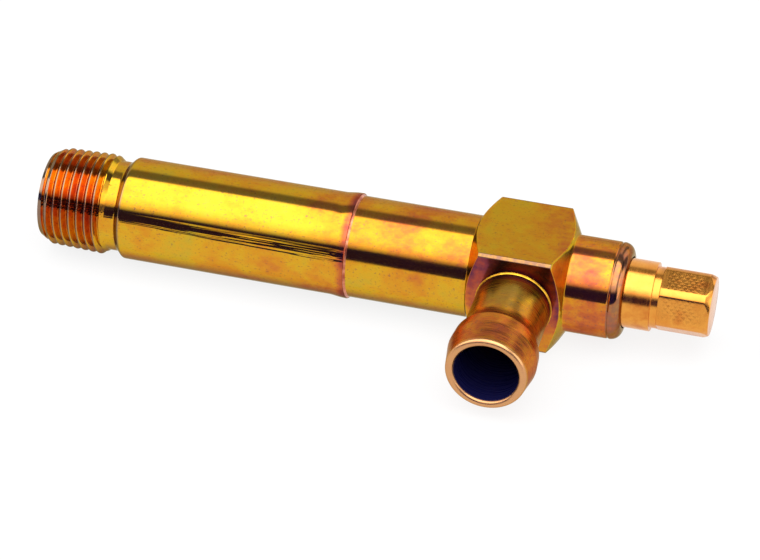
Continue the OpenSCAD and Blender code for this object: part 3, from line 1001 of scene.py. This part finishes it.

# %% [markdown]
# ** The plate on the barb.** The ridge is copper-coloured and the neck yellower. The root is painted
# dark violet as shade where the barb meets the flat, and the rim is painted yellower as a highlight.
# Hoses have rubbed the rim pale and dulled the neck in patches. The bore is painted dark blue as shade,
# and there the surface stops being metallic.

# %% Film, wear and painted light on the barb


def barb_film_and_painted_light(tree, x, y, z):
    neck = add(tree, "MapRange", y, -NECK_END - 1.5, -FLAT - 2.0, 0.06, -0.24)
    # Painted highlight: the rim's film is made yellower so that the rim shines brighter.
    rim_painted_highlight = add(tree, "MapRange", y, -BARB_REACH + 0.5, -BARB_REACH + 1.3, -0.14, 0.0)
    # Painted shade: the film turns dark violet close to the flat, at the barb's root.
    root = add(tree, "MapRange", y, -FLAT - 2.1, -FLAT - 0.4, 0.0, 0.85)
    return add(tree, "Math ADD", add(tree, "Math ADD", neck, rim_painted_highlight), root)


def neck_wear(tree, x, y, z):
    """Patches on the neck."""
    patchy = grains(tree, (210.0, 210.0, 210.0), detail=4.0)
    patches = add(tree, "MapRange", patchy, 0.38, 0.6, 0.1, 0.55)
    on_neck = add(tree, "MapRange", y, -NECK_END - 1.0, -NECK_END + 2.0)
    return add(tree, "Math MULTIPLY", patches, on_neck)


def rim_wear(tree, x, y, z):
    """Towards 1 at the mouth."""
    return add(tree, "MapRange", y, -BARB_REACH + 0.4, -BARB_REACH + 0.9, 0.75, 0.0)


def painted_shade_in_bore(tree, x, y, z):
    """1 inside the bore, which is painted dark blue as shade."""
    r = radius_from(tree, add(tree, "Math SUBTRACT", x, BARB_X), z)
    return add(tree, "MapRange", r, BARB_BORE_R + 0.02, BARB_BORE_R + 0.12, 1.0, 0.0)


# %% The barb
# The dark blue in the bore is painted shade.
DULLED, RUBBED_COPPER, BORE_SHADE = "#80703A", "#CF9A70", "#12123C"
barb_plate = zinc_plate("yellow_zinc_plate_on_turned_barb", start=0.40, drift=0.08,
                        scratches=AROUND_Y, roughness=0.28, depth=0.0018, film_at=barb_film_and_painted_light,
                        patches=[(neck_wear, DULLED, False), (rim_wear, RUBBED_COPPER, False),
                                 (painted_shade_in_bore, BORE_SHADE, True)])
as_object("barb_with_ridge", *barb_skin, "valve", "plated_steel", barb_plate, "hose_barb")

# %% [markdown]
# ## Braze
# The joints are filled with a copper alloy that flowed around them and froze where it was, so its
# surface is lumpy. It is redder than the plate at the tube's seam, and plated over at the barb's root.

# %% Braze


def clouded(name, pale, dark, roughness, scales, depth, metallic=0.0, between=(0.3, 0.7)):
    """Two close colours in a cloud of grains that stand depth millimetres high."""
    material, tree, surface = new_material(name)
    marks = grains(tree, scales)
    low, high = between
    colour = add(tree, "ValToRGB", marks, stops=[(low, linear(dark)), (high, linear(pale))])
    height = add(tree, "Bump", inputs={"Height": marks, "Distance": depth * MM})
    fill(tree, surface, Base_Color=colour, Metallic=metallic, Roughness=roughness, Normal=height)
    return material


LUMPS = {"roughness": 0.3, "scales": (900.0, 900.0, 900.0), "depth": 0.03, "metallic": 1.0,
         "between": (0.35, 0.65)}
seam_braze = clouded("copper_braze", "#E0916E", "#A8523C", **LUMPS)
root_braze = clouded("plated_braze", "#EBC03A", "#C98A2A", **LUMPS)
print("braze for the seam and the root:", seam_braze.name, "and", root_braze.name)

# %% [markdown]
# Surface tension draws braze into a joint and leaves a small hollow ring outside it, which is never
# quite even, so here its width wanders a little around the joint.

# %% The two rings of braze


def uneven(amount, base):
    """Shape that makes a ring stand a little more or less above the base radius as it goes round."""
    def shape(_, radius, angles):
        wander = (np.sin(3 * angles + 0.7) + np.sin(5 * angles + 2.1) + np.sin(9 * angles)) / 3
        return base + (radius - base) * (1 - amount * (0.5 + 0.5 * wander))
    return shape


fillet = LIP_R - SPIGOT_R
seam_ring = rounded([(SEAM_X + 0.01, SPIGOT_R - 0.02), (SEAM_X + 0.01, LIP_R - 0.06),
                     (SEAM_X + 0.35 * fillet, SPIGOT_R + 0.4 * fillet),
                     (SEAM_X + 1.2 * fillet, SPIGOT_R + 0.01),
                     (SEAM_X + 1.2 * fillet, SPIGOT_R - 0.02)], 0.05)
as_object("seam_fillet", *lathe(seam_ring, 144, shape=uneven(0.5, SPIGOT_R - 0.02)),
          "valve", "braze", seam_braze, "tube_braze")
root_ring = rounded([(FLAT - 0.02, NECK_R - 0.02), (FLAT - 0.02, NECK_R + 0.25),
                     (FLAT + 0.09, NECK_R + 0.23), (FLAT + 0.13, NECK_R + 0.12),
                     (FLAT + 0.3, NECK_R + 0.01), (FLAT + 0.3, NECK_R - 0.02)], 0.04)
as_object("root_fillet", *lathe(root_ring, 144, on_barb_axis, uneven(0.35, NECK_R - 0.02)),
          "valve", "braze", root_braze, "barb_braze")

# %% [markdown]
# ## The brass stem
# The stem carries its thread and piston inside the body. Outside there is a plain neck, a narrow
# groove and the hexagon that a spanner turns. The hexagon's corners were turned down, so each
# corner is a narrow round land, and the end is chamfered.

# %% Sizes and rings of the stem
STEM_R = 5.79
HEX_HALF = 5.0
HEX_LAND_R = 5.45
HEX_END = STEM_HIGH.x
HEX_START = HEX_END - 8.6
WAIST_START = HEX_START - 1.15
WAIST_R = STEM_R - 0.64
HEX_TURN = math.radians(45)
PIN_R = 1.6
PIN_X = STEM_LOW.x
CLIP_GROOVE = (PIN_X + 2.0, PIN_X + 2.8, 1.3)
THREAD_R = 4.9
THREAD_X = PIN_X + 4.8
PISTON_X = THREAD_X + 7.2
PISTON_R = 6.65
PISTON_END = PISTON_X + 3.85
RING_GROOVE = (PISTON_X + 0.625, PISTON_X + 3.225, 4.95)

stem_round = rounded(
    [(PIN_X, 0.0), (PIN_X, PIN_R), (CLIP_GROOVE[0], PIN_R), (CLIP_GROOVE[0], CLIP_GROOVE[2]),
     (CLIP_GROOVE[1], CLIP_GROOVE[2]), (CLIP_GROOVE[1], PIN_R), (THREAD_X, PIN_R),
     (THREAD_X, THREAD_R), (PISTON_X, THREAD_R), (PISTON_X, PISTON_R),
     (RING_GROOVE[0], PISTON_R), (RING_GROOVE[0], RING_GROOVE[2]),
     (RING_GROOVE[1], RING_GROOVE[2]), (RING_GROOVE[1], PISTON_R), (PISTON_END, PISTON_R),
     (PISTON_END, STEM_R), (WAIST_START, STEM_R), (WAIST_START, WAIST_R), (HEX_START, WAIST_R)],
    0.1)
stem_hex = rounded(
    [(HEX_START, WAIST_R), (HEX_START, HEX_LAND_R - 0.15), (HEX_START + 0.15, HEX_LAND_R),
     (HEX_END - 1.0, HEX_LAND_R), (HEX_END, HEX_LAND_R - 0.53), (HEX_END, 2.0), (HEX_END, 0.0)],
    0.1)
stem_hex = spread(stem_hex, HEX_START, HEX_END, 0.5)
stem_rings = ([(x, r, None) for x, r in stem_round]
              + [(x, r, HEX_HALF if r > 2.0 else None) for x, r in stem_hex])
stem_skin = flatted_skin(stem_rings, 6, 5, 0.1, HEX_TURN, math.acos(HEX_HALF / WAIST_R))
print("stem skin:", len(stem_skin[0]), "points")

# %% [markdown]
# **Brass.** The stem is turned from free-cutting brass bar. It is warmer than the plate and keeps
# rings from the tool. The flats of the hexagon have a crossed pattern of shallow marks. Two sets of
# waves that lean opposite ways around the bar make the crossing, a cloud bends them so that they
# aren't too regular, and masks keep them on the flats and away from the ends. They are drawn about
# twice as coarse as real marks, so that they show.

# %% Crossed marks


def crossed_marks(tree, cloud):
    """Height of the marks on the flats of the hexagon."""
    x, y, z = axis_parts(tree)
    turned_to = add(tree, "Math ARCTAN2", z, y)
    waves = []
    for lean in (1.0, -1.0):
        phase = add(tree, "Math MULTIPLY_ADD", x, 5.6, add(tree, "Math MULTIPLY", turned_to, 29.0 * lean))
        phase = add(tree, "Math MULTIPLY_ADD", cloud, 9.0, phase)
        waves.append(add(tree, "Math SINE", phase))
    strength = add(tree, "MapRange", cloud, 0.35, 0.6, 0.06, 0.34)
    marks = add(tree, "Math MULTIPLY", add(tree, "Math MAXIMUM", *waves), strength)
    on_flat = add(tree, "MapRange", radius_from(tree, y, z), HEX_LAND_R - 0.12, HEX_LAND_R - 0.02,
                  1.0, 0.0)
    from_start = add(tree, "MapRange", x, HEX_START + 0.6, HEX_START + 1.2)
    to_end = add(tree, "MapRange", x, HEX_END - 1.9, HEX_END - 1.3, 1.0, 0.0)
    between = add(tree, "Math MULTIPLY", from_start, to_end)
    return add(tree, "Math MULTIPLY", add(tree, "Math MULTIPLY", on_flat, between), marks)


# %% Brass and the stem


def turned_brass(name, roughness, hatched=False):
    """Brass with turning rings; hatched adds the crossed marks to the flats of the hexagon."""
    material, tree, surface = new_material(name)
    rings = grains(tree, (4200.0, 120.0, 120.0), detail=2.0)
    cloud = grains(tree, (260.0, 260.0, 260.0))
    shade = add(tree, "MapRange", cloud, 0.3, 0.7)
    colour = add(tree, "ValToRGB", shade, stops=[(0.0, linear("#D98838")), (0.6, linear("#E39A42")),
                                                 (1.0, linear("#CF7C34"))])
    height = add(tree, "Math MULTIPLY", rings, 0.15)
    if hatched:
        height = add(tree, "Math ADD", height, crossed_marks(tree, cloud))
    fill(tree, surface, Base_Color=colour, Metallic=1.0,
         Roughness=add(tree, "MapRange", rings, 0.3, 0.7, roughness * 0.8, roughness * 1.25),
         Normal=add(tree, "Bump", inputs={"Height": height, "Distance": 0.02 * MM}))
    return material


brass = turned_brass("turned_brass", 0.2)
hatched_brass = turned_brass("turned_brass_with_hatched_flats", 0.2, hatched=True)
as_object("hexagon_stem", *stem_skin, "stem", "brass", hatched_brass, "stem")

# %% [markdown]
# ## The pieces inside
# These come straight from the frame: their shapes are plain in real life too. Each gets the finish
# of what it is made of: stamped steel for the washer, spring wire for the clip and the stem's brass
# for the poppet. The rings and the disc are nitrile rubber, which is matt and nearly black, and the
# backup ring is PTFE, which is white and a little waxy.

# %% Dress the inner pieces
RUBBER_GRAIN = 1 / (0.4 * MM)
PTFE_GRAIN = 1 / (0.6 * MM)
nitrile = clouded("nitrile_rubber", "#2B2A2C", "#1C1B1D", 0.55, (RUBBER_GRAIN,) * 3, 0.004)
ptfe = clouded("ptfe", "#E9E7E0", "#DAD7CE", 0.4, (PTFE_GRAIN,) * 3, 0.002)
stamped = clouded("stamped_steel", "#B4B2AE", "#8E8C88", 0.34, (900.0, 900.0, 900.0), 0.002, 1.0)
wire = clouded("spring_wire", "#A9A8A6", "#7D7C7B", 0.28, (3000.0, 600.0, 600.0), 0.002, 1.0)
inner_finish = {"retaining_washer": stamped, "wiper_ring": nitrile, "poppet": brass,
                "poppet_seal": nitrile, "poppet_clip": wire, "stem_o_ring": nitrile,
                "backup_ring": ptfe}
for node, finish in inner_finish.items():
    for slot in frame["nodes"][node].material_slots:
        slot.material = finish
print("inner pieces:", ", ".join(inner_finish))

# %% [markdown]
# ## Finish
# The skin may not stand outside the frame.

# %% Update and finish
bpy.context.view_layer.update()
